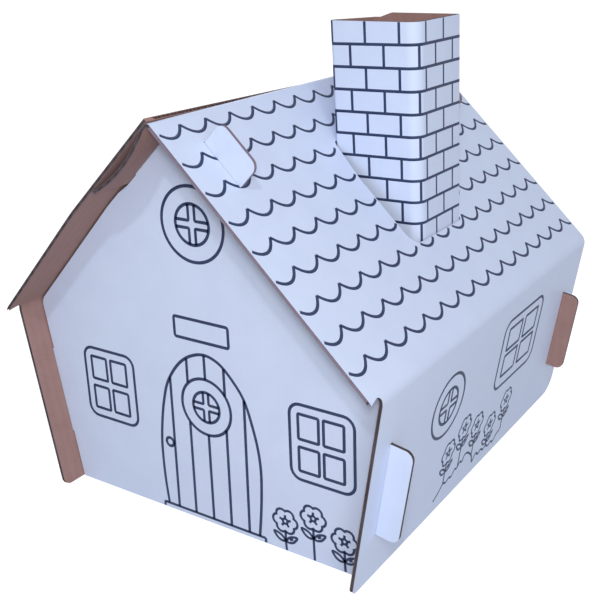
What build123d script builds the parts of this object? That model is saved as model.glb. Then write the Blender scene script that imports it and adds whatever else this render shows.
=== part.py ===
from build123d import *
import os
from math import atan, cos, degrees, radians, sin, tan

os.makedirs("parts", exist_ok=True)

# Corrugated board
board = 2.0
liner = 0.35
flute_pitch = 6.2
flute_crest = 1.2
flute_web = 0.25
flute_depth = 5.0

# House outline over the outer faces
eave_width = 250.0
base_width = 212.0
eave_height = 118.5
ridge_height = 240.0
wall_length = 284.5
roof_overhang = 9.5

# Folds and trimmed corners of the two bent sheets
eave_bend = 8.0
ridge_bend = 2.8
eave_notch = 3.0
notch_rise = 2.5
front_foot_corner = 5.0
rear_foot_corner = 12.0
flap_length = 58.0
flap_spring = 3.8
left_edge_drop = 11.8

# Left roof, standing off the ridge on the flap and bowed out over its free edge
left_lift = 2.1
left_knee_down = 80.0
left_knee_out = 3.7
left_eave_out = 0.5
left_knee_bend = 150.0

# End walls
front_inset = 16.0
rear_inset = 22.5
wall_gap = 0.5
gable_gap = 0.4
left_gable_gap = 1.1
step_run = 9.0

# Tabs and their slots
side_tab_length = 56.0
side_tab_centre = 59.0
roof_tab_length = 29.5
roof_tab_centre = 34.5
front_side_reach = 13.3
rear_side_reach = 11.5
front_roof_reach = 16.0
front_left_roof_reach = 9.5
rear_roof_reach = 9.5
tab_corner = 5.0
slot_gap = 0.35
slot_span = 18.0

# Chimney and the opening it stands in
chimney_width = 53.3
chimney_depth = 52.6
chimney_top = 277.5
chimney_splay = 2.4
chimney_corner = 2.3
chimney_soft_corner = 7.0
chimney_x = 57.65
chimney_y = 1.4
chimney_level = 200.0
chimney_tilt = 3.2
chimney_sink = 14.0
rim_dip = 2.6
rim_dip_run = 10.0
opening_gap = 0.5
opening_front_gap = 5.1
opening_corner_gap = 1.2
opening_slant = 19.0
opening_rear_gap = 2.9

# Outline derived from the sizes above
eave_half = eave_width / 2
base_half = base_width / 2
roof_rise = ridge_height - eave_height
slope = roof_rise / eave_half
lean = (eave_half - base_half) / eave_height
pitch = atan(slope)
wall_angle = atan(lean)
roof_front = -(wall_length + roof_overhang) / 2
wall_front = roof_front + roof_overhang
rear = wall_front + wall_length
full_length = wall_length + roof_overhang
front_face = wall_front + front_inset
rear_face = rear - rear_inset - board

flap_root = 2 * ridge_bend
flap_middle = (flap_root + flap_length) / 2


def upright(y):
    """Plane across the house at y, with local x across and local y up."""
    return Plane(origin=(0, y, 0), x_dir=(1, 0, 0), z_dir=(0, -1, 0))


def eave_corner(wall_set_in, roof_set_in):
    """Crossing of a wall line and a roof line, each set in from its outer face."""
    foot = base_half - wall_set_in / cos(wall_angle)
    top = ridge_height - roof_set_in / cos(pitch)
    height = (top - slope * foot) / (1 + slope * lean)
    return foot + lean * height, height


def on_wall(side, along, out):
    """Point at a distance up a side wall and out from its outer face."""
    x = base_half + along * sin(wall_angle) + out * cos(wall_angle)
    z = along * cos(wall_angle) - out * sin(wall_angle)
    return side * x, z


def on_roof(side, down, out):
    """Point at a distance down a roof slope and out from its outer face."""
    x = down * cos(pitch) + out * sin(pitch)
    z = ridge_height - down * sin(pitch) + out * cos(pitch)
    return side * x, z


def on_flap(down, inward):
    """Point at a distance down the ridge flap and inward from its outer face."""
    x = fold[0] - down * cos(left_pitch) + inward * sin(left_pitch)
    z = fold[1] - down * sin(left_pitch) - inward * cos(left_pitch)
    return x, z


# Left roof line, and the ridge fold of the right sheet where the flap under it meets the right slope
left_ridge = on_roof(-1, 0, left_lift)
left_knee = on_roof(-1, left_knee_down, left_knee_out)
left_eave = on_roof(-1, roof_rise / sin(pitch), left_eave_out)
left_pitch = pitch - atan((left_knee_out - left_lift) / left_knee_down)
flap_top = (left_ridge[0] + board * sin(left_pitch), left_ridge[1] - board * cos(left_pitch))
fold_reach = (flap_top[1] - ridge_height + slope * flap_top[0]) / (sin(left_pitch) + slope * cos(left_pitch))
fold = (flap_top[0] - fold_reach * cos(left_pitch), flap_top[1] - fold_reach * sin(left_pitch))


# Planes for cuts through a side sheet and for the leaning chimney
side_plane = Plane.YZ
chimney_plane = Plane(
    origin=(chimney_x, chimney_y, chimney_level),
    x_dir=(1, 0, 0),
    z_dir=(0, -sin(radians(chimney_tilt)), cos(radians(chimney_tilt))),
)
chimney_cut = chimney_width
tube_half = chimney_width / 2
tube_corners = [
    (-tube_half, -chimney_depth / 2),
    (tube_half, -chimney_depth / 2),
    (tube_half, chimney_depth / 2),
    (-tube_half - chimney_splay, chimney_depth / 2),
]
opening_half = tube_half + opening_gap
opening_front = -chimney_depth / 2 - opening_front_gap
opening_rear = chimney_depth / 2 + opening_rear_gap
opening_corners = [
    (-opening_half, -chimney_depth / 2 - opening_corner_gap),
    (-opening_half + opening_slant, opening_front),
    (opening_half, opening_front),
    (opening_half, opening_rear),
    (-opening_half - chimney_splay, opening_rear),
]

# Tab places: point on the outer face, turn of the tab, its length, and its reach at the front and the rear wall
side_tabs = [
    (on_wall(side, side_tab_centre, 0), -side * degrees(wall_angle), side_tab_length, front_side_reach, rear_side_reach)
    for side in (-1, 1)
]
roof_tabs = [
    (on_roof(side, roof_tab_centre, 0), side * (90 - degrees(pitch)), roof_tab_length, reach, rear_roof_reach)
    for side, reach in ((-1, front_left_roof_reach), (1, front_roof_reach))
]
tabs = side_tabs + roof_tabs
slot_width = board + 2 * slot_gap

# Outline of an end wall inside the two sheets, stepped in under the flap
set_in = board + gable_gap
shoulder = eave_corner(board + wall_gap, set_in)
left_set_in = board + left_gable_gap
left_shoulder = eave_corner(board + wall_gap, left_set_in - left_eave_out)
end_foot = base_half - (board + wall_gap) / cos(wall_angle)
step_down = flap_length + 2 * gable_gap
step_out = left_lift + (left_knee_out - left_lift) * step_down / left_knee_down
step_end = step_down + step_run
step_end_out = left_lift + (left_knee_out - left_lift) * step_end / left_knee_down
gable_outline = [
    (-end_foot, 0),
    (end_foot, 0),
    shoulder,
    (0, ridge_height - set_in / cos(pitch)),
    on_roof(-1, step_down, step_out - board - set_in),
    on_roof(-1, step_end, step_end_out - left_set_in),
    on_roof(-1, left_knee_down, left_knee_out - left_set_in),
    (-left_shoulder[0], left_shoulder[1]),
]

# Raw ridge edge of the left sheet, falling a little toward the rear
edge_fall = atan(left_edge_drop / full_length)
left_roof_plane = Plane(
    origin=(left_ridge[0], 0, left_ridge[1]),
    x_dir=(0, 1, 0),
    z_dir=(-sin(left_pitch), 0, cos(left_pitch)),
)
edge_start = (left_ridge[0] + board / 2 * sin(left_pitch), left_ridge[1] - board / 2 * cos(left_pitch))
edge_plane = Plane(
    origin=(edge_start[0], roof_front, edge_start[1]),
    x_dir=(-cos(left_pitch) * sin(edge_fall), cos(edge_fall), -sin(left_pitch) * sin(edge_fall)),
    z_dir=(cos(left_pitch) * cos(edge_fall), sin(edge_fall), sin(left_pitch) * cos(edge_fall)),
)
edge_length = full_length / cos(edge_fall)
flute_count = int(edge_length / flute_pitch) - 1
flute_height = board - 2 * liner
flute_mouth = flute_pitch - flute_crest - 2 * flute_web
upper_cell = [
    (-flute_mouth / 2, flute_height / 2),
    (flute_mouth / 2, flute_height / 2),
    (flute_crest / 2, -flute_height / 2),
    (-flute_crest / 2, -flute_height / 2),
]
lower_cell = [(x, -z) for (x, z) in upper_cell]

# Rim of the chimney
rim_left = chimney_x - tube_half
rim_middle = chimney_y - (chimney_top - chimney_level) * tan(radians(chimney_tilt))
rim_start = rim_middle - chimney_depth / 2 + 2 * board
rim_inside = rim_middle + chimney_depth / 2 - board
dip_edge = rim_left + 1.2 * board
dip_level = chimney_top - rim_dip

# Roof-side cut for the chimney's foot
roof_inside = on_roof(1, 0, -chimney_sink)
foot_plane = Plane(origin=(roof_inside[0], 0, roof_inside[1]), z_dir=(sin(pitch), 0, cos(pitch)))

# Right sheet: wall, roof and ridge flap in one bent board
with BuildPart() as right_sheet:
    with BuildSketch(upright(roof_front)):
        with BuildLine() as bent:
            Polyline((base_half, 0), (eave_half, eave_height), fold, on_flap(flap_root, 0))
            fillet(bent.vertices().sort_by(Axis.X)[-1], eave_bend)
            fillet(bent.vertices().sort_by(Axis.Y)[-1], ridge_bend)
            offset(amount=board, side=Side.LEFT)
        make_face()
    extrude(amount=-full_length)
    # Flap flat between the end walls and the left roof
    with BuildSketch(upright(front_face)) as flat_flap:
        with BuildLine():
            Polyline(
                on_flap(flap_root, 0),
                on_flap(flap_length, 0),
                on_flap(flap_length, board),
                on_flap(flap_root, board),
                close=True,
            )
        make_face()
    extrude(amount=front_face - rear)
    # Flap springing away from the left roof toward its free front edge
    with BuildSketch(upright(roof_front)) as bowed_flap:
        with BuildLine():
            ThreePointArc(on_flap(flap_root, 0), on_flap(flap_middle, flap_spring), on_flap(flap_length, 0))
            Line(on_flap(flap_length, 0), on_flap(flap_length, board))
            ThreePointArc(
                on_flap(flap_length, board),
                on_flap(flap_middle, flap_spring + board),
                on_flap(flap_root, board),
            )
            Line(on_flap(flap_root, board), on_flap(flap_root, 0))
        make_face()
    loft(sections=[flat_flap.sketch, bowed_flap.sketch])
    # Wall set back from the roof's front edge, with rounded lower rear corner
    with BuildSketch(side_plane) as notch:
        with BuildLine():
            Polyline(
                (roof_front - board, -board),
                (wall_front, -board),
                (wall_front, eave_height + notch_rise),
                (roof_front - board, eave_height),
                close=True,
            )
        make_face()
        fillet(notch.vertices().sort_by(Axis.X)[-2:].sort_by(Axis.Y)[-1], eave_notch)
    extrude(amount=eave_width, mode=Mode.SUBTRACT)
    fillet(right_sheet.faces().sort_by(Axis.Z)[0].edges().sort_by(Axis.Y)[-1], rear_foot_corner)
    fillet(right_sheet.faces().sort_by(Axis.Z)[0].edges().sort_by(Axis.Y)[0], front_foot_corner)
    for wall_face in (front_face, rear_face):
        for (place, turn, length, front_reach, rear_reach) in tabs:
            with BuildSketch(upright(wall_face - slot_gap)):
                with Locations(place):
                    Rectangle(slot_span, length + 2 * slot_gap, rotation=turn)
            extrude(amount=-slot_width, mode=Mode.SUBTRACT)
    with BuildSketch(Plane(origin=(chimney_x, chimney_y, chimney_level))) as opening:
        Polygon(*opening_corners, align=None)
        fillet(opening.vertices().sort_by(Axis.X)[-2:].sort_by(Axis.Y)[0], chimney_soft_corner)
        fillet(opening.vertices().sort_by(Axis.X)[-2:].sort_by(Axis.Y)[-1], chimney_corner)
        fillet(opening.vertices().sort_by(Axis.X)[:2], chimney_corner)
    extrude(amount=chimney_cut, both=True, mode=Mode.SUBTRACT)
right_sheet.part.label = "right_sheet"
export_step(right_sheet.part, "parts/right_sheet.step")

# Left sheet: wall and roof in one bent board, its fluted edge open along the ridge
with BuildPart() as left_sheet:
    with BuildSketch(upright(roof_front)):
        with BuildLine() as left_bent:
            Polyline((-base_half, 0), left_eave, left_knee, left_ridge)
            fillet(left_bent.vertices().sort_by(Axis.X)[0], eave_bend)
            fillet(left_bent.vertices().sort_by(Axis.X)[-2], left_knee_bend)
            offset(amount=board, side=Side.RIGHT)
        make_face()
    extrude(amount=-full_length)
    with BuildSketch(side_plane) as left_notch:
        with BuildLine():
            Polyline(
                (roof_front - board, -board),
                (wall_front, -board),
                (wall_front, eave_height + notch_rise),
                (roof_front - board, eave_height),
                close=True,
            )
        make_face()
        fillet(left_notch.vertices().sort_by(Axis.X)[-2:].sort_by(Axis.Y)[-1], eave_notch)
    extrude(amount=-eave_width, mode=Mode.SUBTRACT)
    fillet(left_sheet.faces().sort_by(Axis.Z)[0].edges().sort_by(Axis.Y)[-1], rear_foot_corner)
    fillet(left_sheet.faces().sort_by(Axis.Z)[0].edges().sort_by(Axis.Y)[0], front_foot_corner)
    with BuildSketch(left_roof_plane):
        with BuildLine():
            Polyline(
                (roof_front, 0),
                (roof_front, -board),
                (rear, -board),
                (rear, left_edge_drop),
                close=True,
            )
        make_face()
    extrude(amount=2 * board, both=True, mode=Mode.SUBTRACT)
    with BuildSketch(edge_plane):
        with Locations((edge_length / 2, 0)):
            with GridLocations(flute_pitch, 0, flute_count, 1):
                Polygon(*upper_cell)
        with Locations((edge_length / 2 + flute_pitch / 2, 0)):
            with GridLocations(flute_pitch, 0, flute_count, 1):
                Polygon(*lower_cell)
    extrude(amount=-flute_depth, mode=Mode.SUBTRACT)
    for wall_face in (front_face, rear_face):
        for (place, turn, length, front_reach, rear_reach) in tabs:
            with BuildSketch(upright(wall_face - slot_gap)):
                with Locations(place):
                    Rectangle(slot_span, length + 2 * slot_gap, rotation=turn)
            extrude(amount=-slot_width, mode=Mode.SUBTRACT)
left_sheet.part.label = "left_sheet"
export_step(left_sheet.part, "parts/left_sheet.step")

# Front wall: gable board with a tab through each side wall and each roof slope
with BuildPart() as front_wall:
    with BuildSketch(upright(front_face)) as front_outline:
        Polygon(*gable_outline, align=None)
        fillet(front_outline.vertices().sort_by(Axis.X)[0], eave_bend)
        fillet(front_outline.vertices().sort_by(Axis.X)[-1], eave_bend)
        for (place, turn, length, front_reach, rear_reach) in tabs:
            with Locations(place):
                RectangleRounded(2 * front_reach, length, tab_corner, rotation=turn)
    extrude(amount=-board)
front_wall.part.label = "front_wall"
export_step(front_wall.part, "parts/front_wall.step")

# Rear wall: the same gable board, set in from the rear edges
with BuildPart() as rear_wall:
    with BuildSketch(upright(rear_face)) as rear_outline:
        Polygon(*gable_outline, align=None)
        fillet(rear_outline.vertices().sort_by(Axis.X)[0], eave_bend)
        fillet(rear_outline.vertices().sort_by(Axis.X)[-1], eave_bend)
        for (place, turn, length, front_reach, rear_reach) in tabs:
            with Locations(place):
                RectangleRounded(2 * rear_reach, length, tab_corner, rotation=turn)
    extrude(amount=-board)
rear_wall.part.label = "rear_wall"
export_step(rear_wall.part, "parts/rear_wall.step")

# Chimney: board tube with one soft fold, its rim dipping at the rear left, foot cut to the roof slope
with BuildPart() as chimney:
    with BuildSketch(chimney_plane) as tube:
        Polygon(*tube_corners, align=None)
        fillet(tube.vertices().sort_by(Axis.X)[-2:].sort_by(Axis.Y)[0], chimney_soft_corner)
        fillet(tube.vertices().sort_by(Axis.X)[-2:].sort_by(Axis.Y)[-1], chimney_corner)
        fillet(tube.vertices().sort_by(Axis.X)[:2], chimney_corner)
        offset(amount=-board, mode=Mode.SUBTRACT)
    extrude(amount=chimney_top, both=True)
    split(bisect_by=Plane.XY.offset(chimney_top), keep=Keep.BOTTOM)
    split(bisect_by=foot_plane, keep=Keep.TOP)
    with BuildSketch(Plane.YZ.offset(rim_left - 3 * board)):
        with BuildLine():
            Polyline(
                (rim_start, chimney_top),
                (rim_inside, dip_level),
                (rim_inside + 2 * board, dip_level),
                (rim_inside + 2 * board, chimney_top + board),
                (rim_start, chimney_top + board),
                close=True,
            )
        make_face()
    extrude(amount=dip_edge - rim_left + 3 * board, mode=Mode.SUBTRACT)
    with BuildSketch(upright(rim_inside)):
        with BuildLine():
            Polyline(
                (dip_edge, dip_level),
                (rim_left + rim_dip_run, chimney_top),
                (rim_left + rim_dip_run, chimney_top + board),
                (dip_edge, chimney_top + board),
                close=True,
            )
        make_face()
    extrude(amount=-2 * board, mode=Mode.SUBTRACT)
chimney.part.label = "chimney"
export_step(chimney.part, "parts/chimney.step")
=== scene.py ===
from math import atan, atan2, cos, degrees, hypot, pi, radians, sin

import bmesh
import bpy
from mathutils import Euler, Matrix, Vector


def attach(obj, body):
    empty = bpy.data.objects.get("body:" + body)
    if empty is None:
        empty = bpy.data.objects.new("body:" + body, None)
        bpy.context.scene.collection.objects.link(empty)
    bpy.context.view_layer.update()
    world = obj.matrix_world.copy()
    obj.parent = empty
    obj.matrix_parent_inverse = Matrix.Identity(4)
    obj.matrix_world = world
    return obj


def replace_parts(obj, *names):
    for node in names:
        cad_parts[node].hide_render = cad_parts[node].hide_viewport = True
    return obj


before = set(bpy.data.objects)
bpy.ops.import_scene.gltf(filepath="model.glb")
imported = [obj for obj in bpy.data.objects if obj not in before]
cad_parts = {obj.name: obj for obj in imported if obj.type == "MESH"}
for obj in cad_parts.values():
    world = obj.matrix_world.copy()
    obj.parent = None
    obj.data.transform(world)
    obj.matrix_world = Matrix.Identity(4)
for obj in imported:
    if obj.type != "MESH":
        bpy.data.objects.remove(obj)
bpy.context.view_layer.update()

# Sizes of the house in millimetres, as in the part's source
MM = 0.001
board = 2.0
liner = 0.35
flute_pitch = 6.2
eave_half = 125.0
base_half = 106.0
eave_height = 118.5
ridge_height = 240.0
roof_front = -147.0
wall_front = -137.5
sheet_rear = 147.0
front_face = -121.5
rear_face = 124.5
left_lift = 2.1
left_knee_down = 80.0
left_knee_out = 3.7
left_eave_out = 0.5
left_edge_drop = 11.8
open_flutes = 7.0
chimney_width = 53.3
chimney_depth = 52.6
chimney_splay = 2.4
chimney_corner = 2.3
chimney_soft_corner = 7.0
chimney_place = (57.65, 1.4, 200.0)
chimney_top = 277.5
chimney_tilt = radians(3.2)
chimney_sink = 14.0
rim_dip = 2.6
rim_dip_run = 10.0
opening_gap = 0.5
opening_front_gap = 5.1
opening_rear_gap = 2.9
roof_pitch = atan((ridge_height - eave_height) / eave_half)
wall_lean = atan((eave_half - base_half) / eave_height)
slope_length = hypot(eave_half, ridge_height - eave_height)


def on_left_roof(down, out):
    """Point across the house at a distance down the left slope and out from it."""
    x = -down * cos(roof_pitch) - out * sin(roof_pitch)
    z = ridge_height - down * sin(roof_pitch) + out * cos(roof_pitch)
    return Vector((x, 0.0, z))


left_ridge = on_left_roof(0.0, left_lift)
left_knee = on_left_roof(left_knee_down, left_knee_out)
left_eave = on_left_roof(slope_length, left_eave_out)
left_foot = Vector((-base_half, 0.0, 0.0))

# Printed lines
roof_line_width = 1.8
line_width = 1.85
thin_line_width = 1.55
brick_line_width = 1.6
side_line_width = 1.9
side_thin_line_width = 1.45
ink_thickness = 0.12

# Scallops of the roof
scallop_pitch = 20.25
scallop_depth = 6.6
scallop_roundness = 2.1
scallop_points = 17
scallop_columns = 15
scallop_row_pitch = 18.24
scallop_rows = 9
scallop_end_margin = 0.4
scallop_top_margin = 1.5
first_scallop_row = 15.4
first_cusp = 9.7
row_sag = 0.76
row_draw = 1.39
row_fall = 0.43

# Bricks of the chimney
brick_course = 12.30
brick_courses = 13
first_course_line = 65.35
brick_length = 20.7
first_joint = 21.3
second_joint = 11.8
joints_round = 10
joint_courses = 7
corner_brick_less = 3.4
corner_brick_from = 1.5
brick_rise_right = 0.0167
brick_fall_rear = 0.0074
tube_corner_points = 20
tube_ring_points = 420
left_face_reach = 1.0
rim_margin = 0.1

# Flowers, as shares of the bloom's size
bloom_points = 96
bloom_height = 0.96
petals = 6
petal_root = 0.82
petal_reach = 0.21
petal_roundness = 0.75
star_heart = 0.20
star_rays = 5
star_from, star_to = 0.24, 0.50
stem_top = 0.84
leaf_drop = 1.62
leaf_outline = ((0.06, 0.06), (0.40, 0.42), (0.98, 0.55), (0.68, 0.10), (0.30, -0.06))
leaf_vein = ((0.34, 0.18), (0.62, 0.34))
stem_foot_aside = 0.05

# Cut edges of the board
merge_reach = 0.01
core_step = 0.04
core_sink = 0.45
crease = radians(24.0)

# Floor, room and camera
floor_reach = 6000.0
floor_grey = 0.50
floor_glow = 0.74
room_level = 0.35
camera_place = (324.768, -495.180, 324.440)
camera_turn = (69.2067, 1.7769, 33.7472)
camera_lens = 58.664
camera_sensor = 36.0

# Colours, linear
white_liner_colour = (0.60, 0.685, 0.895)
white_liner_shade = (0.555, 0.635, 0.845)
kraft_colour = (0.352, 0.213, 0.196)
kraft_dark = (0.264, 0.155, 0.138)
cut_colour = (0.155, 0.125, 0.146)
cut_dark = (0.105, 0.085, 0.102)
closed_colour = (0.25, 0.21, 0.28)
closed_dark = (0.19, 0.155, 0.20)
# Core of a cut edge: the medium's brown, darkened by painted shade of the flute hollows
core_colour_painted_shade = (0.085, 0.066, 0.076)
core_dark_painted_shade = (0.034, 0.026, 0.032)
ink_colour = (0.022, 0.036, 0.095)
ink_worn = (0.042, 0.062, 0.148)

# Span of the paper's tint over which its roughness runs
tint_span = (0.25, 0.75)

scene = bpy.context.scene


# ---------------------------------------------------------------- node helpers


def place(tree, kind, inputs=None, **options):
    """Adds a node, sets its options, and links or sets its inputs."""
    node = tree.nodes.new(kind)
    for option, value in options.items():
        setattr(node, option, value)
    for socket, value in (inputs or {}).items():
        if isinstance(value, bpy.types.NodeSocket):
            tree.links.new(value, node.inputs[socket])
        else:
            node.inputs[socket].default_value = value
    return node


def maths(tree, operation, first, second=0.0, third=0.0):
    """Output of one Math node."""
    return place(tree, "ShaderNodeMath", {0: first, 1: second, 2: third}, operation=operation).outputs[0]


def ranged(tree, value, low, high, to_low=0.0, to_high=1.0):
    """Output of one Map Range node."""
    return place(tree, "ShaderNodeMapRange", {0: value, 1: low, 2: high, 3: to_low, 4: to_high}).outputs[0]


def vector_of(tree, **axes):
    """Vector put together from its axes x, y and z, with 0 where none is given."""
    values = {axis.upper(): value for axis, value in axes.items()}
    return place(tree, "ShaderNodeCombineXYZ", values).outputs[0]


def blend_colours(tree, share, first, second):
    """Output of one Mix node between two colours."""
    return place(tree, "ShaderNodeMix", {
        0: share, 6: (*first, 1.0), 7: (*second, 1.0),
    }, data_type="RGBA").outputs[2]


def sockets(tree, direction, names):
    """Named sockets on a node group's interface, as name: (kind, default)."""
    for name, (kind, value) in names.items():
        socket = tree.interface.new_socket(name, in_out=direction, socket_type="NodeSocket" + kind)
        if value is not None:
            socket.default_value = value


# ------------------------------------------------------- paper and board finish


def paper_fibre_group():
    """Cloudy formation and fine felted fibre of paper, as a tint and a height."""
    tree = bpy.data.node_groups.new("paper fibre", "ShaderNodeTree")
    sockets(tree, "INPUT", {
        "Cloud Size": ("Float", 60.0),
        "Fibre Size": ("Float", 900.0),
        "Fibre Share": ("Float", 0.5),
    })
    sockets(tree, "OUTPUT", {"Tint": ("Float", None), "Height": ("Float", None)})
    given = place(tree, "NodeGroupInput")
    spot = place(tree, "ShaderNodeTexCoord").outputs["Object"]
    cloud = place(tree, "ShaderNodeTexNoise", {
        "Vector": spot, "Scale": given.outputs["Cloud Size"], "Detail": 3.0,
    })
    fibre = place(tree, "ShaderNodeTexNoise", {
        "Vector": spot, "Scale": given.outputs["Fibre Size"],
        "Detail": 4.0, "Roughness": 0.65, "Distortion": 1.2,
    })
    mixed = place(tree, "ShaderNodeMix", {
        0: given.outputs["Fibre Share"], 2: cloud.outputs["Fac"], 3: fibre.outputs["Fac"],
    })
    place(tree, "NodeGroupOutput", {"Tint": mixed.outputs[0], "Height": fibre.outputs["Fac"]})
    return tree


def flute_ghost_group():
    """Faint washboard of the flutes under a liner, in bands across one direction."""
    sway_size, sway_share = 9.0, 0.35
    tree = bpy.data.node_groups.new("flute ghost", "ShaderNodeTree")
    sockets(tree, "INPUT", {
        "Across": ("Vector", (0.0, 1.0, 0.0)),
        "Pitch": ("Float", flute_pitch * MM),
    })
    sockets(tree, "OUTPUT", {"Band": ("Float", None)})
    given = place(tree, "NodeGroupInput")
    spot = place(tree, "ShaderNodeTexCoord").outputs["Object"]
    sway = place(tree, "ShaderNodeTexNoise", {"Vector": spot, "Scale": sway_size, "Detail": 1.0})
    along = place(tree, "ShaderNodeVectorMath", {
        0: spot, 1: given.outputs["Across"],
    }, operation="DOT_PRODUCT")
    turns = maths(tree, "DIVIDE", along.outputs["Value"], given.outputs["Pitch"])
    swayed = maths(tree, "ADD", turns, maths(tree, "MULTIPLY", sway.outputs["Fac"], sway_share))
    wave = maths(tree, "SINE", maths(tree, "MULTIPLY", swayed, 2 * pi))
    place(tree, "NodeGroupOutput", {"Band": maths(tree, "MULTIPLY_ADD", wave, 0.5, 0.5)})
    return tree


paper_fibre = paper_fibre_group()
flute_ghost = flute_ghost_group()


def new_material(name):
    """Material with an empty tree, its Principled shader and its tree."""
    material = bpy.data.materials.new(name)
    material.use_nodes = True
    tree = material.node_tree
    tree.nodes.clear()
    shader = place(tree, "ShaderNodeBsdfPrincipled")
    place(tree, "ShaderNodeOutputMaterial", {"Surface": shader.outputs["BSDF"]})
    return material, tree, shader


def group_node(tree, group, inputs):
    """Placed copy of a shared group with its own values."""
    node = tree.nodes.new("ShaderNodeGroup")
    node.node_tree = group
    for name, value in inputs.items():
        node.inputs[name].default_value = value
    return node


def fibre_node(tree, cloud_size, fibre_size, fibre_share):
    """Placed copy of the paper fibre."""
    return group_node(tree, paper_fibre, {
        "Cloud Size": cloud_size, "Fibre Size": fibre_size, "Fibre Share": fibre_share,
    })


def flute_node(tree, across):
    """Placed copy of the flute ghost."""
    return group_node(tree, flute_ghost, {"Across": across, "Pitch": flute_pitch * MM})


def bumped(tree, height, strength, distance):
    """Normal of a surface raised by a height, the distance in millimetres."""
    return place(tree, "ShaderNodeBump", {
        "Strength": strength, "Distance": distance * MM, "Height": height,
    }).outputs[0]


def feed(tree, shader, sources):
    """Links outputs to a shader's named inputs."""
    for socket, source in sources.items():
        tree.links.new(source, shader.inputs[socket])


def liner_material(
    name, across, light, dark, *, roughness, cloud_size, fibre_size, fibre_share, ghost,
):
    """Paper liner of the board: clouded colour, felted fibre, ghost of the flutes."""
    darkest, lightest = 0.30, 0.72
    rough_spread = 0.08
    fibre_height, flute_height = 0.25, 0.3
    material, tree, shader = new_material(name)
    fibre = fibre_node(tree, cloud_size, fibre_size, fibre_share)
    flutes = flute_node(tree, across)
    tint = maths(tree, "ADD", fibre.outputs["Tint"], maths(tree, "MULTIPLY", flutes.outputs["Band"], ghost))
    height = maths(
        tree, "ADD",
        maths(tree, "MULTIPLY", fibre.outputs["Height"], fibre_height),
        maths(tree, "MULTIPLY", flutes.outputs["Band"], flute_height),
    )
    feed(tree, shader, {
        "Base Color": blend_colours(tree, ranged(tree, tint, darkest, lightest + ghost), dark, light),
        "Roughness": ranged(
            tree, fibre.outputs["Tint"], *tint_span, roughness - rough_spread, roughness + rough_spread,
        ),
        "Normal": bumped(tree, height, strength=0.10, distance=0.12),
    })
    shader.inputs["Specular IOR Level"].default_value = 0.3
    return material


def white_liner(name, across):
    """Smooth white outer liner that takes the print."""
    return liner_material(
        name, across, white_liner_colour, white_liner_shade,
        roughness=0.58, cloud_size=55.0, fibre_size=1400.0, fibre_share=0.35, ghost=0.03,
    )


def kraft_liner(name, across):
    """Brown inner liner."""
    return liner_material(
        name, across, kraft_colour, kraft_dark,
        roughness=0.78, cloud_size=90.0, fibre_size=1100.0, fibre_share=0.6, ghost=0.07,
    )


def edge_liner(name, light, dark):
    """Bare paper of a cut edge."""
    return liner_material(
        name, around_tube, light, dark,
        roughness=0.85, cloud_size=300.0, fibre_size=1500.0, fibre_share=0.5, ghost=0.05,
    )


def core_painted_shade_material():
    """Fluted medium seen at a cut edge: its brown, darkened overall by painted shade of the flute hollows,
    and darker still between its crests.
    """
    darkest, lightest, crest_lift = 0.25, 0.85, 0.6
    material, tree, shader = new_material("board core with painted shade")
    fibre = fibre_node(tree, cloud_size=400.0, fibre_size=1500.0, fibre_share=0.6)
    # Painted shade: darker between the flute crests, where the hollows lie
    crests_painted_shade = maths(tree, "ADD", flute_node(tree, around_tube).outputs["Band"], crest_lift)
    share = ranged(tree, maths(tree, "MULTIPLY", fibre.outputs["Tint"], crests_painted_shade), darkest, lightest)
    feed(tree, shader, {
        "Base Color": blend_colours(tree, share, core_dark_painted_shade, core_colour_painted_shade),
        "Normal": bumped(tree, fibre.outputs["Height"], strength=0.3, distance=0.2),
    })
    shader.inputs["Roughness"].default_value = 0.9
    return material


def navy_ink_material():
    """Printed navy line, a little uneven where the paper took less of it."""
    full, worn = 0.42, 0.75
    smoothest, roughest = 0.42, 0.62
    material, tree, shader = new_material("navy ink")
    fibre = fibre_node(tree, cloud_size=120.0, fibre_size=2200.0, fibre_share=0.55)
    tint = fibre.outputs["Tint"]
    feed(tree, shader, {
        "Base Color": blend_colours(tree, ranged(tree, tint, full, worn), ink_colour, ink_worn),
        "Roughness": ranged(tree, tint, *tint_span, smoothest, roughest),
        "Normal": bumped(tree, fibre.outputs["Height"], strength=0.08, distance=0.1),
    })
    shader.inputs["Specular IOR Level"].default_value = 0.2
    return material


along_house, across_house, around_tube = (0.0, 1.0, 0.0), (1.0, 0.0, 0.0), (1.0, 1.0, 0.0)
core_painted_shade = core_painted_shade_material()
cut_liner = edge_liner("cut liner", cut_colour, cut_dark)
closed_edge = edge_liner("closed cut edge", closed_colour, closed_dark)
navy_ink = navy_ink_material()
sheet_liners = (white_liner("sheet white", along_house), kraft_liner("sheet kraft", along_house))
wall_liners = (white_liner("end wall white", across_house), kraft_liner("end wall kraft", across_house))
tube_liners = (white_liner("chimney white", around_tube), kraft_liner("chimney kraft", around_tube))


# ------------------------------------------------------------- the board pieces

PRINTED, KRAFT, CORE, CUT, CLOSED = range(5)

# Stretches of the right sheet, across the house and up it, in millimetres
flap_edge = -2.0
ridge_bend_edge = 3.5
eave_bend = (110.0, 124.0)
closed_above_eave = 6.0
skin = 0.2

# Turns of a face, in degrees, by which an outer or inner face is known
flap_outside, flap_inside = (100, 165), (-80, -15)
ridge_outside, ridge_inside = (40, 140), (-140, -40)
slope_outside, slope_not_inside = (-15, 52), (-128, 165)

# Shares of a face's normal from which it looks along the house or up the chimney
looks_along = 0.5
looks_up = 0.3


def between(value, limits):
    """True inside a pair of limits."""
    return limits[0] < value < limits[1]


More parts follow.
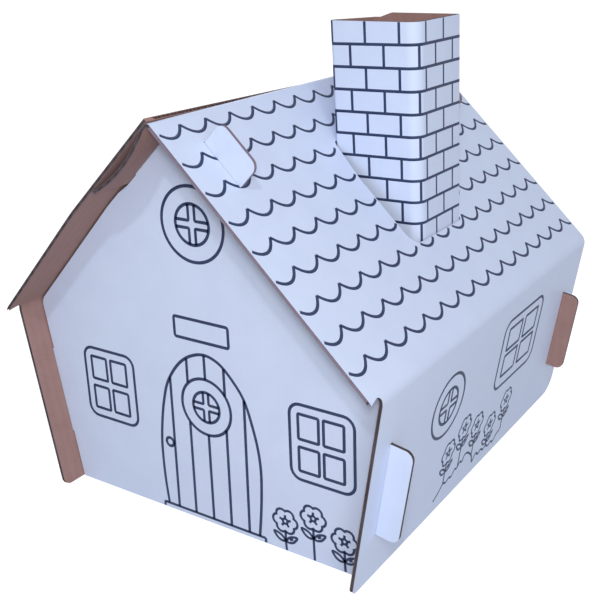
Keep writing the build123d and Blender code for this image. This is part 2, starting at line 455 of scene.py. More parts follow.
def right_sheet_layer(centre, normal):
    """Layer of the right sheet that a face belongs to."""
    if abs(normal.y) > looks_along:
        return CORE
    across, height = centre.x / MM, centre.z / MM
    turn = degrees(atan2(normal.z, normal.x))
    if across < flap_edge:
        return PRINTED if between(turn, flap_outside) else KRAFT if between(turn, flap_inside) else CORE
    if across < ridge_bend_edge:
        return PRINTED if between(turn, ridge_outside) else KRAFT if between(turn, ridge_inside) else CORE
    below_roof = (ridge_height - height) * cos(roof_pitch) - across * sin(roof_pitch)
    inside_wall = (base_half - across) * cos(wall_lean) + height * sin(wall_lean)
    depth = min(below_roof, inside_wall)
    in_bend = between(height, eave_bend)
    if between(turn, slope_outside) and (in_bend or depth < skin):
        return PRINTED
    if not between(turn, slope_not_inside) and (in_bend or depth > board - skin):
        return KRAFT
    return CORE


def left_sheet_layer(centre, normal):
    """Layer of the left sheet that a face belongs to."""
    if abs(normal.y) > looks_along:
        return CORE
    turn = degrees(atan2(normal.z, -normal.x))
    if in_open_flutes(centre):
        run = (left_ridge - left_knee).normalized()
        depth = (left_ridge - centre / MM).dot(Vector((-run.z, 0.0, run.x)))
        if between(depth, (skin, board - skin)):
            return KRAFT
    return PRINTED if between(turn, slope_outside) else CORE if between(turn, slope_not_inside) else KRAFT


def in_open_flutes(centre):
    """True close to the left sheet's raw ridge edge, where the flutes are open."""
    edge = left_edge_drop * (centre.y / MM - roof_front) / (sheet_rear - roof_front)
    down = (left_ridge - centre / MM).dot((left_ridge - left_knee).normalized())
    return down < edge + open_flutes


def end_wall_layer(centre, normal):
    """Layer of a flat end wall that a face belongs to, printed on the side away from the house."""
    if abs(normal.y) < looks_along:
        return CORE
    return PRINTED if normal.y * centre.y > 0 else KRAFT


def chimney_layer(centre, normal):
    """Layer of the chimney tube that a face belongs to."""
    if abs(normal.z) > looks_up:
        return CORE
    away = Vector((centre.x - chimney_place[0] * MM, centre.y - chimney_axis_y(centre.z) * MM, 0.0))
    return PRINTED if away.dot(normal) > 0 else KRAFT


def chimney_axis_y(height):
    """Place of the leaning chimney's axis at a height, in millimetres."""
    return chimney_place[1] - (height / MM - chimney_place[2]) * sin(chimney_tilt) / cos(chimney_tilt)


def closed_at_roof(centre):
    """True on the right slope, where the board is cut along the wall of a flute."""
    return centre.x > ridge_bend_edge * MM and centre.z > (eave_height + closed_above_eave) * MM


def new_piece(name, mesh):
    """Object of the house that stays with it."""
    piece = bpy.data.objects.new(name, mesh)
    scene.collection.objects.link(piece)
    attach(piece, "root")
    return piece


def dress_board(node, layer_of, liners, keep_flat=None, closed=None):
    """Copy of a board node with its liners told apart and its core sunk at the cut edges."""
    shape = bmesh.new()
    shape.from_mesh(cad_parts[node].data)
    bmesh.ops.remove_doubles(shape, verts=shape.verts, dist=merge_reach * MM)
    shape.normal_update()
    for face in shape.faces:
        face.material_index = layer_of(face.calc_center_median(), face.normal)
    edges_cut = [
        face for face in shape.faces
        if face.material_index == CORE and not (keep_flat and keep_flat(face.calc_center_median()))
    ]
    for layer, step, sink in ((CUT, liner, 0.0), (CORE, core_step, core_sink)):
        rims = bmesh.ops.inset_region(
            shape, faces=edges_cut, thickness=step * MM, depth=-sink * MM,
            use_boundary=True, use_even_offset=True,
        )["faces"]
        for face in rims:
            face.material_index = layer
    shape.normal_update()
    for face in shape.faces:
        face.smooth = True
        if closed and face.material_index in (CORE, CUT) and closed(face.calc_center_median()):
            face.material_index = CLOSED
    for edge in shape.edges:
        joined = edge.link_faces
        edge.smooth = (
            len(joined) == 2
            and joined[0].material_index == joined[1].material_index
            and joined[0].normal.angle(joined[1].normal, 0.0) < crease
        )
    mesh = bpy.data.meshes.new(node + "_board")
    for material in (*liners, core_painted_shade, cut_liner, closed_edge):
        mesh.materials.append(material)
    shape.to_mesh(mesh)
    shape.free()
    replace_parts(new_piece(node + "_board", mesh), node)


dress_board("right_sheet", right_sheet_layer, sheet_liners, closed=closed_at_roof)
dress_board("left_sheet", left_sheet_layer, sheet_liners, keep_flat=in_open_flutes)
dress_board("front_wall", end_wall_layer, wall_liners, closed=closed_at_roof)
dress_board("rear_wall", end_wall_layer, wall_liners, closed=closed_at_roof)
dress_board("chimney", chimney_layer, tube_liners)


# ------------------------------------------------------------ Geometry Nodes


def geometry_tree(name, sizes):
    """Geometry Nodes tree with its sizes as inputs named by kind, and its input node."""
    tree = bpy.data.node_groups.new(name, "GeometryNodeTree")
    inputs = {size: (kind, None) for kind, names in sizes.items() for size in names}
    sockets(tree, "INPUT", {"Geometry": ("Geometry", None), **inputs, "Finish": ("Material", None)})
    sockets(tree, "OUTPUT", {"Geometry": ("Geometry", None)})
    return tree, place(tree, "NodeGroupInput")


def finish_tree(tree, given, geometry):
    """Ends a tree in real geometry with its material set."""
    real = place(tree, "GeometryNodeRealizeInstances", {"Geometry": geometry})
    finished = place(tree, "GeometryNodeSetMaterial", {
        "Geometry": real.outputs[0], "Material": given.outputs["Finish"],
    })
    place(tree, "NodeGroupOutput", {"Geometry": finished.outputs[0]})


def ribbon(tree, edges, wide, thick):
    """Flat closed ribbon along mesh edges that lie in the local XY plane."""
    path = place(tree, "GeometryNodeMeshToCurve", {"Mesh": edges})
    level = place(tree, "GeometryNodeSetCurveNormal", {"Curve": path.outputs[0]}, mode="Z_UP")
    section = place(tree, "GeometryNodeCurvePrimitiveQuadrilateral", {"Width": wide, "Height": thick})
    return place(tree, "GeometryNodeCurveToMesh", {
        "Curve": level.outputs[0], "Profile Curve": section.outputs[0], "Fill Caps": True,
    }).outputs[0]


def drawn_line_tree():
    """Ink along paths drawn flat on a face."""
    tree, given = geometry_tree("drawn ink lines", {"Float": ("Line Width", "Ink Thickness")})
    size = given.outputs
    finish_tree(tree, given, ribbon(tree, size["Geometry"], size["Line Width"], size["Ink Thickness"]))
    return tree


def shingle_tree():
    """Rows of scallops on a roof slope, left out beyond its edges and over an opening."""
    tree, given = geometry_tree("shingle rows", {
        "Int": ("Columns", "Rows"),
        "Vector": ("First Scallop", "Opening Low", "Opening High"),
        "Float": (
            "Scallop Pitch", "Row Pitch", "Scallop Depth", "Near Edge", "Far Edge", "Top At Near Edge",
            "Top At Far Edge", "Half Length", "Slope Length", "Row Sag", "Row Draw", "Row Fall",
            "Line Width", "Ink Thickness",
        ),
    })
    size = given.outputs
    flat_arc = place(tree, "GeometryNodeMeshLine", {
        "Count": scallop_points, "Start Location": (-0.5, 0.0, 0.0),
        "Offset": (1.0 / (scallop_points - 1), 0.0, 0.0),
    })
    spot = place(tree, "GeometryNodeInputPosition").outputs[0]
    x, y, _ = place(tree, "ShaderNodeSeparateXYZ", {0: spot}).outputs
    from_middle = maths(tree, "ABSOLUTE", maths(tree, "MULTIPLY", x, 2.0))
    lift = maths(tree, "POWER", from_middle, scallop_roundness)
    scallop = place(tree, "GeometryNodeSetPosition", {
        "Geometry": flat_arc.outputs[0],
        "Position": vector_of(
            tree,
            x=maths(tree, "MULTIPLY", x, size["Scallop Pitch"]),
            y=maths(tree, "MULTIPLY", lift, size["Scallop Depth"]),
        ),
    })
    one_row = place(tree, "GeometryNodeMeshLine", {
        "Count": size["Columns"], "Offset": vector_of(tree, x=size["Scallop Pitch"]),
    })
    all_rows = place(tree, "GeometryNodeMeshLine", {
        "Count": size["Rows"], "Start Location": size["First Scallop"],
        "Offset": vector_of(tree, y=size["Row Pitch"]),
    })
    row_of_scallops = place(tree, "GeometryNodeInstanceOnPoints", {
        "Points": one_row.outputs[0], "Instance": scallop.outputs[0],
    })
    field = place(tree, "GeometryNodeInstanceOnPoints", {
        "Points": all_rows.outputs[0], "Instance": row_of_scallops.outputs[0],
    })
    real = place(tree, "GeometryNodeRealizeInstances", {"Geometry": field.outputs[0]})

    # The rows settle towards the middle of the ridge and fall a little to the rear
    to_end = maths(tree, "DIVIDE", x, size["Half Length"])
    to_ridge = maths(tree, "DIVIDE", y, size["Slope Length"])
    bow = maths(tree, "SUBTRACT", 1.0, maths(tree, "MULTIPLY", to_end, to_end))
    settle = maths(tree, "MULTIPLY", maths(tree, "MULTIPLY", bow, to_ridge), -1.0)
    fall = maths(tree, "MULTIPLY", to_end, size["Row Fall"])
    settled = place(tree, "GeometryNodeSetPosition", {
        "Geometry": real.outputs[0],
        "Offset": vector_of(
            tree,
            x=maths(tree, "MULTIPLY", settle, size["Row Draw"]),
            y=maths(tree, "SUBTRACT", maths(tree, "MULTIPLY", settle, size["Row Sag"]), fall),
        ),
    })

    # What lies beyond the slope's edges or over the opening is left out
    top_edge = ranged(
        tree, x, size["Near Edge"], size["Far Edge"], size["Top At Near Edge"], size["Top At Far Edge"],
    )
    beyond = maths(
        tree, "MAXIMUM",
        maths(tree, "LESS_THAN", x, size["Near Edge"]), maths(tree, "GREATER_THAN", x, size["Far Edge"]),
    )
    beyond = maths(tree, "MAXIMUM", beyond, maths(tree, "GREATER_THAN", y, top_edge))
    low = place(tree, "ShaderNodeSeparateXYZ", {0: size["Opening Low"]}).outputs
    high = place(tree, "ShaderNodeSeparateXYZ", {0: size["Opening High"]}).outputs
    over_opening = 1.0
    for value, least, most in ((x, low[0], high[0]), (y, low[1], high[1])):
        past_least = maths(tree, "GREATER_THAN", value, least)
        short_of_most = maths(tree, "LESS_THAN", value, most)
        within = maths(tree, "MULTIPLY", past_least, short_of_most)
        over_opening = maths(tree, "MULTIPLY", within, over_opening)
    kept = place(tree, "GeometryNodeDeleteGeometry", {
        "Geometry": settled.outputs[0], "Selection": maths(tree, "MAXIMUM", beyond, over_opening),
    })
    finish_tree(tree, given, ribbon(tree, kept.outputs[0], size["Line Width"], size["Ink Thickness"]))
    return tree


def brick_tree():
    """Running bond printed round a square tube, ending at the sloping foot."""
    tree, given = geometry_tree("brick bond", {
        "Int": ("Courses",),
        "Vector": ("Foot Point", "Foot Normal", "Rim Point", "Rim Normal"),
        "Float": (
            "Tube Width", "Tube Depth", "Splay", "Corner", "Soft Corner", "Top Line", "Course",
            "Brick Length", "First Joint", "Second Joint", "Front Corner", "Corner Brick Less",
            "Rim Dip", "Dip Run", "Line Width", "Ink Thickness",
        ),
    })
    size = given.outputs
    spot = place(tree, "GeometryNodeInputPosition").outputs[0]
    x, y, _ = place(tree, "ShaderNodeSeparateXYZ", {0: spot}).outputs

    def in_quarter(test_x, test_y):
        """1 in the quarter of the outline where both tests against its middle hold."""
        return maths(tree, "MULTIPLY", maths(tree, test_x, x, 0.0), maths(tree, test_y, y, 0.0))

    def height_over(point, normal):
        """Height over a named plane."""
        off_plane = place(tree, "ShaderNodeVectorMath", {0: spot, 1: size[point]}, operation="SUBTRACT")
        return place(tree, "ShaderNodeVectorMath", {
            0: off_plane.outputs[0], 1: size[normal],
        }, operation="DOT_PRODUCT").outputs["Value"]

    def above_foot(geometry):
        """What stands above the sloping foot."""
        under = maths(tree, "LESS_THAN", height_over("Foot Point", "Foot Normal"), 0.0)
        return place(tree, "GeometryNodeDeleteGeometry", {
            "Geometry": geometry, "Selection": under,
        }).outputs[0]

    def below_rim(geometry):
        """Presses what stands over the rim down to it, also where the rim dips at the left."""
        half_depth = maths(tree, "MULTIPLY", size["Tube Depth"], 0.5)
        from_left = maths(tree, "ADD", x, maths(tree, "MULTIPLY", size["Tube Width"], 0.5))
        share = maths(tree, "DIVIDE", maths(tree, "ADD", y, half_depth), size["Tube Depth"])
        at_left = maths(tree, "MULTIPLY", maths(tree, "LESS_THAN", from_left, left_face_reach * MM), share)
        at_rear = maths(
            tree, "MULTIPLY",
            maths(tree, "LESS_THAN", from_left, size["Dip Run"]),
            maths(tree, "GREATER_THAN", y, maths(tree, "SUBTRACT", half_depth, size["Corner"])),
        )
        dip = maths(tree, "MULTIPLY", maths(tree, "MAXIMUM", at_left, at_rear), size["Rim Dip"])
        over = maths(tree, "MAXIMUM", maths(tree, "ADD", height_over("Rim Point", "Rim Normal"), dip), 0.0)
        return place(tree, "GeometryNodeSetPosition", {
            "Geometry": geometry, "Offset": vector_of(tree, z=maths(tree, "MULTIPLY", over, -1.0)),
        }).outputs[0]

    def courses(count, start, step):
        """Points one below the other, one for each course."""
        return place(tree, "GeometryNodeMeshLine", {
            "Count": count, "Start Location": vector_of(tree, z=start),
            "Offset": vector_of(tree, z=maths(tree, "MULTIPLY", step, -1.0)),
        }).outputs[0]

    def repeated(points, geometry):
        """Real copies of a geometry at points."""
        copies = place(tree, "GeometryNodeInstanceOnPoints", {"Points": points, "Instance": geometry})
        return place(tree, "GeometryNodeRealizeInstances", {"Geometry": copies.outputs[0]}).outputs[0]

    # Outline of the tube, splayed at its rear left corner and soft at its front right one
    outline = place(tree, "GeometryNodeCurvePrimitiveQuadrilateral", {
        "Width": size["Tube Width"], "Height": size["Tube Depth"],
    })
    aside = maths(tree, "MULTIPLY", in_quarter("LESS_THAN", "GREATER_THAN"), size["Splay"])
    splayed = place(tree, "GeometryNodeSetPosition", {
        "Geometry": outline.outputs[0], "Offset": vector_of(tree, x=maths(tree, "MULTIPLY", aside, -1.0)),
    })
    softer = maths(tree, "SUBTRACT", size["Soft Corner"], size["Corner"])
    added = maths(tree, "MULTIPLY", in_quarter("GREATER_THAN", "LESS_THAN"), softer)
    tube = place(tree, "GeometryNodeFilletCurve", {
        "Curve": splayed.outputs[0], "Radius": maths(tree, "ADD", size["Corner"], added),
        "Count": tube_corner_points,
    }, mode="POLY")

    # Course lines round the tube
    dense = place(tree, "GeometryNodeResampleCurve", {"Curve": tube.outputs[0], "Count": tube_ring_points})
    ring_edges = place(tree, "GeometryNodeCurveToMesh", {"Curve": dense.outputs[0]})
    course, top = size["Course"], size["Top Line"]
    rings = above_foot(repeated(courses(size["Courses"], top, course), ring_edges.outputs[0]))
    parts = [ribbon(tree, rings, size["Ink Thickness"], size["Line Width"])]

    # Upright joints, in turns from one course to the next
    joint = place(tree, "GeometryNodeMeshCube", {
        "Size": vector_of(tree, x=size["Line Width"], y=size["Ink Thickness"], z=course),
    })
    half_course = maths(tree, "MULTIPLY", course, 0.5)
    for first, start in (
        (size["First Joint"], maths(tree, "ADD", top, half_course)),
        (size["Second Joint"], maths(tree, "SUBTRACT", top, half_course)),
    ):
        index = place(tree, "GeometryNodeInputIndex").outputs[0]
        reach = maths(tree, "ADD", maths(tree, "MULTIPLY", index, size["Brick Length"]), first)
        past_corner = maths(tree, "GREATER_THAN", reach, size["Front Corner"])
        less = maths(tree, "MULTIPLY", past_corner, size["Corner Brick Less"])
        reach = maths(tree, "SUBTRACT", reach, less)
        sample = place(tree, "GeometryNodeSampleCurve", {
            "Curves": tube.outputs[0], "Length": reach,
        }, mode="LENGTH")
        points = place(tree, "GeometryNodePoints", {
            "Count": joints_round, "Position": sample.outputs["Position"],
        })
        turned = place(tree, "GeometryNodeStoreNamedAttribute", {
            "Geometry": points.outputs[0], "Name": "run", "Value": sample.outputs["Tangent"],
        }, data_type="FLOAT_VECTOR", domain="POINT")
        lines = courses(joint_courses, start, maths(tree, "MULTIPLY", course, 2.0))
        spread = above_foot(repeated(lines, turned.outputs[0]))
        run = place(tree, "GeometryNodeInputNamedAttribute", {"Name": "run"}, data_type="FLOAT_VECTOR")
        turn = place(tree, "FunctionNodeAlignRotationToVector", {"Vector": run.outputs[0]}, axis="X")
        bars = place(tree, "GeometryNodeInstanceOnPoints", {
            "Points": spread, "Instance": joint.outputs[0], "Rotation": turn.outputs[0],
        })
        parts.append(bars.outputs[0])
    together = place(tree, "GeometryNodeJoinGeometry")
    for part in parts:
        tree.links.new(part, together.inputs[0])
    real = place(tree, "GeometryNodeRealizeInstances", {"Geometry": together.outputs[0]})
    finish_tree(tree, given, below_rim(real.outputs[0]))
    return tree


def grow(name, tree, values, mesh=None):
    """Plain mesh that a Geometry Nodes tree makes with these input values."""
    stem = bpy.data.objects.new(name, mesh or bpy.data.meshes.new(name))
    scene.collection.objects.link(stem)
    modifier = stem.modifiers.new(name, "NODES")
    modifier.node_group = tree
    for item in tree.interface.items_tree:
        if item.in_out == "INPUT" and item.name in values:
            modifier[item.identifier] = values[item.name]
    graph = bpy.context.evaluated_depsgraph_get()
    made = bpy.data.meshes.new_from_object(stem.evaluated_get(graph))
    bpy.data.objects.remove(stem)
    return made


drawn_lines = drawn_line_tree()
shingle_rows = shingle_tree()
brick_bond = brick_tree()


# ------------------------------------------------------------------- drawing

# A drawing is a list of paths in millimetres on a face: (points, closed)


def smooth(points, closed=False, steps=6):
    """Path through points with rounded turns."""
    count = len(points)
    made = []
    for i in range(count if closed else count - 1):
        if closed:
            a, b, c, d = (points[(i + k) % count] for k in (-1, 0, 1, 2))
        else:
            a, b, c, d = (points[min(max(i + k, 0), count - 1)] for k in (-1, 0, 1, 2))
        for step in range(steps):
            t = step / steps
            made.append(tuple(
                0.5 * (
                    2 * q + (r - p) * t + (2 * p - 5 * q + 4 * r - s) * t * t
                    + (3 * q - p - 3 * r + s) * t ** 3
                )
                for p, q, r, s in zip(a, b, c, d)
            ))
    if not closed:
        made.append(points[-1])
    return made, closed


def ring(centre, radius, points=48):
    """Circle."""
    turns = [2 * pi * i / points for i in range(points)]
    return [(centre[0] + radius * cos(t), centre[1] + radius * sin(t)) for t in turns], True


def rounded_box(low, high, corner, points=5):
    """Closed outline of a box with round corners."""
    made = []
    for (x, y, start) in (
        (high[0] - corner, high[1] - corner, 0.0),
        (low[0] + corner, high[1] - corner, 90.0),
        (low[0] + corner, low[1] + corner, 180.0),
        (high[0] - corner, low[1] + corner, 270.0),
    ):
        for i in range(points + 1):
            t = radians(start + 90.0 * i / points)
            made.append((x + corner * cos(t), y + corner * sin(t)))
    return made, True


def line(*points):
    """Open path, straight from point to point."""
    return list(points), False


def round_window(centre, outer, inner, half_bar, bar_corner=0.5):
    """Two rings and the four panes left by a cross of bars."""
    x, y = centre
    reach = (inner ** 2 - half_bar ** 2) ** 0.5
    turn = half_bar + bar_corner
    pane = ((half_bar, reach), (half_bar, turn), (turn, half_bar), (reach, half_bar))
    made = [ring(centre, outer, points=64), ring(centre, inner)]
    for across in (-1, 1):
        for up in (-1, 1):
            made.append(line(*((x + across * aside, y + up * rise) for aside, rise in pane)))
    return made


def pane_window(low, high, corner, columns, rows, pane_corner=0.7):
    """Rounded frame with four square panes."""
    made = [rounded_box(low, high, corner)]
    for left, right in columns:
        for bottom, top in rows:
            made.append(rounded_box((left, bottom), (right, top), pane_corner, points=2))
    return made


def flower(centre, size, foot):
    """Bloom with a lobed edge and star, a stem and two leaves, one of them veined."""
    x, y = centre
    leaf = y - leaf_drop * size
    edge = []
    for i in range(bloom_points):
        t = 2 * pi * i / bloom_points
        r = size * (petal_root + petal_reach * abs(sin(petals * (t - pi / 2) / 2)) ** petal_roundness)
        edge.append((x + r * cos(t), y + bloom_height * r * sin(t)))
    made = [(edge, True), ring(centre, star_heart * size, points=14)]
    for i in range(star_rays):
        t = pi / 2 + 2 * pi * i / star_rays
        made.append(line(*(
            (x + share * size * cos(t), y + share * size * sin(t)) for share in (star_from, star_to)
        )))
    made.append(smooth([(x, y - stem_top * size), (x, leaf), (x + stem_foot_aside * size, foot)]))
    for across in (-1, 1):
        outline = [(x + across * aside * size, leaf + rise * size) for aside, rise in leaf_outline]
        made.append(smooth(outline, closed=True, steps=4))
    made.append(line(*((x + aside * size, leaf + rise * size) for aside, rise in leaf_vein)))
    return made


def facing(side, drawing):
    """Drawing as it is on the right wall, mirrored for the left one."""
    return [([(side * x, y) for x, y in points], closed) for points, closed in drawing]


def drawn(name, drawing, width):
    """Ink ribbons along a drawing's paths."""
    mesh = bpy.data.meshes.new(name)
    spots, edges = [], []
    for points, closed in drawing:
        start = len(spots)
        spots += [(x * MM, y * MM, 0.0) for x, y in points]
        edges += [(start + i, start + i + 1) for i in range(len(points) - 1)]
        if closed:
            edges.append((start + len(points) - 1, start))
    mesh.from_pydata(spots, edges, [])
    return grow(name, drawn_lines, {
        "Line Width": width * MM, "Ink Thickness": ink_thickness * MM, "Finish": navy_ink,
    }, mesh)


def face_frame(origin, along, up):
    """Matrix that lays a flat drawing on a face, its Z axis pointing out."""
    along, up = Vector(along).normalized(), Vector(up).normalized()
    out = along.cross(up)
    turn = Matrix((along, up, out)).transposed().to_4x4()
    return Matrix.Translation(Vector(origin) * MM) @ turn


front_frame = face_frame((0, front_face, 0), (1, 0, 0), (0, 0, 1))
rear_frame = face_frame((0, rear_face, 0), (-1, 0, 0), (0, 0, 1))
side_frames = {
    1: face_frame((base_half, 0, 0), (0, 1, 0), (sin(wall_lean), 0, cos(wall_lean))),
    -1: face_frame(left_foot, (0, -1, 0), left_eave - left_foot),
}
right_roof_frame = face_frame(
    (eave_half, 0, eave_height), (0, 1, 0), (-cos(roof_pitch), 0, sin(roof_pitch)),
)
left_roof_frame = face_frame(left_eave, (0, -1, 0), left_knee - left_eave)
left_top_frame = face_frame(left_knee, (0, -1, 0), left_ridge - left_knee)
left_knee_height = (left_knee - left_eave).length


def bend_over_knee(mesh):
    """Bends a print laid on the lower left slope over the knee to the upper part."""
    from_knee = Matrix.Translation((0.0, -left_knee_height * MM, 0.0))
    turn = left_roof_frame.inverted() @ left_top_frame @ from_knee
    for vertex in mesh.vertices:
        if vertex.co.y > left_knee_height * MM:
            vertex.co = turn @ vertex.co
    return mesh


# The tube leans but its courses stay nearly level, so its print is sheared, not turned
chimney_lean = Matrix.Identity(4)
chimney_lean[1][1] = 1.0 / cos(chimney_tilt)
chimney_lean[1][2] = -sin(chimney_tilt) / cos(chimney_tilt)
chimney_lean[2][0] = brick_rise_right
chimney_lean[2][1] = -brick_fall_rear
chimney_frame = Matrix.Translation(Vector(chimney_place) * MM) @ chimney_lean

# Front wall
door_outline = [
    (-31.4, 3.2), (-32.7, 17.7), (-33.2, 31.7), (-32.9, 45.7), (-31.2, 59.7), (-28.6, 72.7), (-24.6, 85.2),
    (-16.9, 96.9), (-7.9, 104.5), (3.2, 108.1), (13.4, 105.4), (21.9, 97.9), (29.8, 87.0), (34.8, 71.7),
    (37.8, 58.0), (38.9, 45.7), (38.6, 32.7), (37.5, 18.0), (35.9, 3.2),
]
plank_lines = [
    line((-22.5, 88.7), (-23.5, 3.2)),
    line((-9.3, 103.5), (-9.5, 88.4)), line((-9.9, 63.6), (-10.5, 3.2)),
    line((3.5, 108.0), (3.4, 93.1)), line((3.2, 58.7), (2.8, 3.2)),
    line((16.8, 102.9), (16.7, 86.3)), line((16.4, 65.3), (15.8, 3.2)),
    line((29.7, 86.9), (28.7, 3.2)),
]
door_window = round_window((2.8, 75.9), 17.3, 9.3, 1.85)
door_knob = ring((-26.6, 46.1), 2.7, points=20)
door_step = line((-35.0, 0.4), (-35.0, 2.5), (-34.3, 3.2), (39.3, 3.2), (40.0, 2.5), (40.0, 0.4))
plate = rounded_box((-16.1, 115.7), (21.4, 127.8), 1.2, points=3)
gable_window = round_window((1.95, 182.1), 20.7, 11.2, 2.1)
left_window = pane_window(
    (-90.3, 48.6), (-50.9, 94.0), 6.5, ((-84.9, -72.9), (-69.4, -57.2)), ((54.3, 69.0), (73.8, 88.4)),
)
right_window = pane_window(
    (59.4, 49.1), (99.3, 94.1), 6.5, ((64.8, 77.5), (80.6, 93.0)), ((54.5, 69.0), (73.7, 88.5)),
)
front_drawing = [
    smooth(door_outline), *plank_lines, door_step, *door_window, door_knob, plate,
    *gable_window, *left_window, *right_window,
]
front_bloom, front_ground = 7.9, 0.4
front_flowers = [
    path
    for centre in ((53.9, 19.1), (72.5, 27.0), (92.2, 19.4))
    for path in flower(centre, front_bloom, front_ground)
]

# Side walls, seen from outside with the front at the left on the right wall
side_drawing = [
    *round_window((-52.3, 77.2), 19.5, 11.1, 2.0),
    *pane_window(
        (18.3, 53.6), (80.3, 101.4), 8.0, ((26.5, 46.8), (52.0, 72.4)), ((61.4, 76.2), (80.0, 94.9)),
    ),
]
side_bloom = 8.3
side_flowers = [
    path
    for centre, foot in (
        ((-37.6, 38.2), 16.4), ((-18.4, 46.2), 18.2), ((2.4, 38.2), 16.2),
        ((26.3, 27.0), 10.6), ((48.8, 35.2), 12.0),
    )
    for path in flower(centre, side_bloom, foot)
]
side_grass = smooth([
    (-47.5, 8.5), (-41.0, 12.5), (-37.0, 15.8), (-33.0, 14.4), (-29.0, 15.8), (-25.5, 14.6), (-22.0, 18.0),
    (-18.5, 17.2), (-15.0, 20.0), (-12.0, 18.4), (-9.0, 22.0), (-4.5, 21.2), (0.0, 18.0), (3.5, 14.5),
    (6.5, 8.6), (9.0, 11.5), (11.5, 12.6), (15.0, 10.0), (19.0, 11.6), (23.0, 9.2), (27.0, 10.5),
    (31.0, 8.0), (35.5, 9.2), (39.0, 7.2), (43.5, 10.6), (49.0, 12.0),
])

print_meshes = {
    "front_wall_print": [
        (front_frame, drawn("front lines", front_drawing, line_width)),
        (front_frame, drawn("front flowers", front_flowers, thin_line_width)),
    ],
    "rear_wall_print": [
        (rear_frame, drawn("rear lines", gable_window + left_window + right_window, line_width)),
    ],
}


def shingles(side):
    """Scallop rows of one roof slope, left out round the chimney's opening on the right."""
    near, far = roof_front, sheet_rear
    near_top = slope_length
    first_centre = wall_front + first_cusp - scallop_pitch / 2
    opening_low = opening_high = (0.0, 0.0, 0.0)
    sag, draw, fall = 0.0, 0.0, 0.0
    if side > 0:
        half_width, half_depth = chimney_width / 2 + opening_gap, chimney_depth / 2
        low_edge = eave_half - (chimney_place[0] + half_width)
        high_edge = eave_half - (chimney_place[0] - half_width - chimney_splay)
        front_edge = chimney_place[1] - half_depth - opening_front_gap
        rear_edge = chimney_place[1] + half_depth + opening_rear_gap
        opening_low = (front_edge * MM, low_edge / cos(roof_pitch) * MM, 0.0)
        opening_high = (rear_edge * MM, high_edge / cos(roof_pitch) * MM, 0.0)
        sag, draw, fall = row_sag, row_draw, row_fall
    else:
        near, far = -far, -near
        near_top = slope_length - left_edge_drop - scallop_top_margin
        first_centre = -(first_centre + (scallop_columns - 1) * scallop_pitch)
    return grow("shingles", shingle_rows, {
        "Columns": scallop_columns, "Rows": scallop_rows,
        "Scallop Pitch": scallop_pitch * MM, "Row Pitch": scallop_row_pitch * MM,
        "Scallop Depth": scallop_depth * MM,
        "First Scallop": (first_centre * MM, first_scallop_row * MM, 0.0),
        "Near Edge": (near + scallop_end_margin) * MM, "Far Edge": (far - scallop_end_margin) * MM,
        "Top At Near Edge": near_top * MM, "Top At Far Edge": slope_length * MM,
        "Opening Low": opening_low, "Opening High": opening_high,
        "Half Length": sheet_rear * MM, "Slope Length": slope_length * MM,
        "Row Sag": sag * MM, "Row Draw": draw * MM, "Row Fall": fall * MM,
        "Line Width": roof_line_width * MM, "Ink Thickness": ink_thickness * MM, "Finish": navy_ink,
    })


roof_prints = {
    1: (right_roof_frame, shingles(1)),
    -1: (left_roof_frame, bend_over_knee(shingles(-1))),
}
for side, name in ((1, "right_sheet_print"), (-1, "left_sheet_print")):
    lines, plants = facing(side, side_drawing), facing(side, [*side_flowers, side_grass])
    print_meshes[name] = [
        roof_prints[side],
        (side_frames[side], drawn(name + " lines", lines, side_line_width)),
        (side_frames[side], drawn(name + " plants", plants, side_thin_line_width)),
    ]

# Way round the tube's outline from its rear right corner to its front left one
corner_run = pi * chimney_corner / 2
straight_width = chimney_width + chimney_splay - 2 * chimney_corner
straight_depth = hypot(chimney_depth, chimney_splay) - 2 * chimney_corner
front_left = corner_run + straight_width + corner_run + straight_depth + corner_run / 2
roof_normal = Vector((sin(roof_pitch), 0, cos(roof_pitch)))
foot_point = Vector((0, 0, ridge_height * MM)) - chimney_sink * MM * roof_normal
rim_point = Vector((0.0, 0.0, (chimney_top - rim_margin) * MM))
to_tube = chimney_frame.inverted()
to_tube_normal = chimney_frame.to_3x3().transposed()
print_meshes["chimney_print"] = [(chimney_frame, grow("bricks", brick_bond, {
    "Tube Width": chimney_width * MM, "Tube Depth": chimney_depth * MM,
    "Splay": chimney_splay * MM, "Corner": chimney_corner * MM, "Soft Corner": chimney_soft_corner * MM,
    "Top Line": first_course_line * MM, "Course": brick_course * MM, "Courses": brick_courses,
    "Brick Length": brick_length * MM,
    "First Joint": (front_left + first_joint) % brick_length * MM,
    "Second Joint": (front_left + second_joint) % brick_length * MM,
    "Front Corner": (front_left + chimney_width + corner_brick_from) * MM,
    "Corner Brick Less": corner_brick_less * MM,
    "Foot Point": tuple(to_tube @ foot_point), "Foot Normal": tuple(to_tube_normal @ roof_normal),
    "Rim Point": tuple(to_tube @ rim_point),
    "Rim Normal": tuple(to_tube_normal @ Vector((0.0, 0.0, 1.0))),
    "Rim Dip": rim_dip * MM, "Dip Run": rim_dip_run * MM,
    "Line Width": brick_line_width * MM, "Ink Thickness": ink_thickness * MM, "Finish": navy_ink,
}))]

for name, laid in print_meshes.items():
    shape = bmesh.new()
    for face_place, mesh in laid:
        mesh.transform(face_place)
        shape.from_mesh(mesh)
    for face in shape.faces:
        face.material_index = 0
    made = bpy.data.meshes.new(name)
    made.materials.append(navy_ink)
    shape.to_mesh(made)
    shape.free()
    new_piece(name, made)


# ------------------------------------------------- floor, light and camera


def seen_directly(tree):
    """1 for rays that should meet the plain white background."""
    path = place(tree, "ShaderNodeLightPath")
    seen = maths(tree, "MAXIMUM", path.outputs["Is Camera Ray"], path.outputs["Is Glossy Ray"])
    return maths(tree, "MAXIMUM", seen, path.outputs["Is Transmission Ray"])


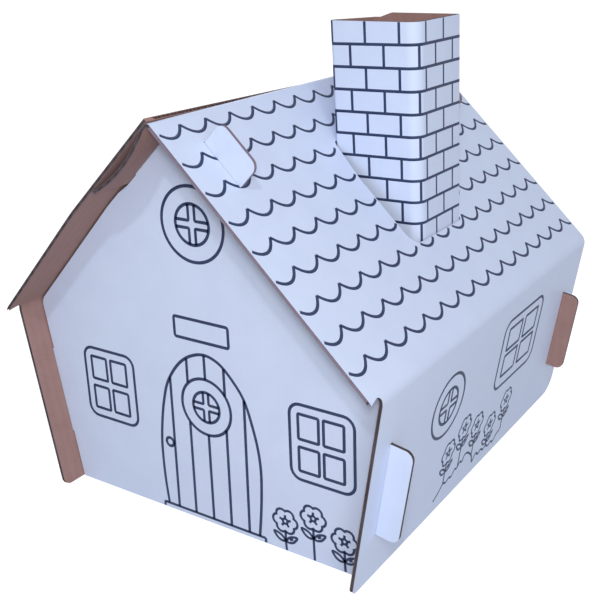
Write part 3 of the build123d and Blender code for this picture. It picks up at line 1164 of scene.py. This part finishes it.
def white_floor():
    """Pale floor that reads as white and keeps the house's soft shadow."""
    material = bpy.data.materials.new("white floor")
    material.use_nodes = True
    tree = material.node_tree
    tree.nodes.clear()
    lit = place(tree, "ShaderNodeBsdfDiffuse", {"Color": (floor_grey, floor_grey, floor_grey, 1.0)})
    glow = place(tree, "ShaderNodeEmission", {"Color": (1.0, 1.0, 1.0, 1.0), "Strength": floor_glow})
    nothing = place(tree, "ShaderNodeEmission", {"Strength": 0.0})
    lift = place(tree, "ShaderNodeMixShader", {
        0: seen_directly(tree), 1: nothing.outputs[0], 2: glow.outputs[0],
    })
    both = place(tree, "ShaderNodeAddShader", {0: lit.outputs[0], 1: lift.outputs[0]})
    place(tree, "ShaderNodeOutputMaterial", {"Surface": both.outputs[0]})
    mesh = bpy.data.meshes.new("floor")
    reach = floor_reach * MM
    corners = [(-reach, -reach, 0), (reach, -reach, 0), (reach, reach, 0), (-reach, reach, 0)]
    mesh.from_pydata(corners, [], [(0, 1, 2, 3)])
    mesh.materials.append(material)
    floor = bpy.data.objects.new("floor", mesh)
    scene.collection.objects.link(floor)


def soft_room_light():
    """Even white room for light, plain white where it is seen."""
    world = bpy.data.worlds.new("white room")
    world.use_nodes = True
    tree = world.node_tree
    tree.nodes.clear()
    strength = ranged(tree, seen_directly(tree), 0.0, 1.0, room_level, 1.0)
    back = place(tree, "ShaderNodeBackground", {"Color": (1.0, 1.0, 1.0, 1.0), "Strength": strength})
    place(tree, "ShaderNodeOutputWorld", {"Surface": back.outputs[0]})
    scene.world = world


def soft_lamp(name, towards_lamp, level, softness):
    """Broad distant lamp that gives this level on a surface facing it."""
    lamp = bpy.data.lights.new(name, "SUN")
    lamp.energy = level * pi
    lamp.angle = radians(softness)
    holder = bpy.data.objects.new(name, lamp)
    holder.rotation_euler = Vector(towards_lamp).to_track_quat("Z", "Y").to_euler()
    scene.collection.objects.link(holder)


def near_lamp(name, spot, power, radius):
    """Small lamp at a place in millimetres, stronger on what is close to it."""
    lamp = bpy.data.lights.new(name, "POINT")
    lamp.energy = power
    lamp.shadow_soft_size = radius * MM
    holder = bpy.data.objects.new(name, lamp)
    holder.location = Vector(spot) * MM
    scene.collection.objects.link(holder)


white_floor()
soft_room_light()
soft_lamp("lamp above the camera", (0.324, -0.60, 0.732), level=0.18, softness=3.0)
soft_lamp("pale wall at the right", (0.72, -0.60, 0.32), level=0.28, softness=24.0)
soft_lamp("pale wall behind the house", (-0.55, 0.62, 0.56), level=0.26, softness=40.0)
near_lamp("lamp beside the camera", (330.0, -500.0, 370.0), power=4.8, radius=40.0)

camera_data = bpy.data.cameras.new("camera")
camera_data.sensor_width = camera_sensor
camera_data.lens = camera_lens
camera = bpy.data.objects.new("camera", camera_data)
camera.location = Vector(camera_place) * MM
camera.rotation_euler = Euler([radians(angle) for angle in camera_turn])
scene.collection.objects.link(camera)
scene.camera = camera
scene.view_settings.view_transform = "Standard"
